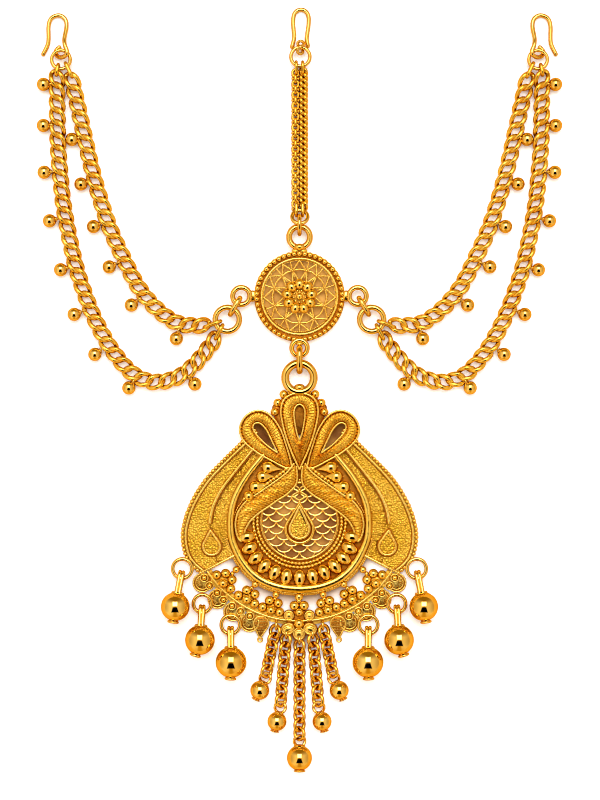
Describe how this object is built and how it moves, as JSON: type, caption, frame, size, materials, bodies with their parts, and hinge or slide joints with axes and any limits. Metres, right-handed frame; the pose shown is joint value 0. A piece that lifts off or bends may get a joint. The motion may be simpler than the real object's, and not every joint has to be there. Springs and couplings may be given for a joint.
{
  "type": "matha patti",
  "caption": "Gold forehead jewel laid flat: beaded side chains, a parting chain, a round openwork medallion and a filigree plaque with ball drops and a chain tassel.",
  "frame": {"origin": "middle of the jewel's outline, on the surface that it lies on", "axes": "+Y up the parting towards the centre hook, +X towards the right side chains, +Z out of the front"},
  "size_m": [0.1472, 0.214, 0.0086],
  "materials": {
    "polished_gold": "mirror-polished gold plate",
    "chain_gold": "bright gold-plated links",
    "satin_gold": "matte stippled gold plate with bright wires and dark recesses"
  },
  "bodies": {
    "root": {"centre_hook": "polished_gold", "side_hook_left": "polished_gold", "side_hook_right": "polished_gold", "centre_top_ring": "polished_gold", "side_top_ring_left": "polished_gold", "side_top_ring_right": "polished_gold", "centre_chain": "chain_gold", "crown_ring": "polished_gold", "crown_link": "polished_gold", "medallion": "satin_gold", "side_link_left": "polished_gold", "connector_ring_left": "polished_gold", "outer_chain_left": "chain_gold", "inner_chain_left": "chain_gold", "side_link_right": "polished_gold", "connector_ring_right": "polished_gold", "outer_chain_right": "chain_gold", "inner_chain_right": "chain_gold", "pendant_link": "polished_gold", "pendant_plaque": "satin_gold", "ball_drop_left_1": "polished_gold", "ball_drop_left_2": "polished_gold", "ball_drop_left_3": "polished_gold", "ball_drop_right_1": "polished_gold", "ball_drop_right_2": "polished_gold", "ball_drop_right_3": "polished_gold", "tassel_chain_1": "chain_gold", "tassel_chain_2": "chain_gold", "tassel_chain_3": "chain_gold", "tassel_chain_4": "chain_gold", "tassel_chain_5": "chain_gold", "tassel_ball_1": "polished_gold", "tassel_ball_2": "polished_gold", "tassel_ball_3": "polished_gold", "tassel_ball_4": "polished_gold", "tassel_ball_5": "polished_gold"}
  },
  "joints": []
}
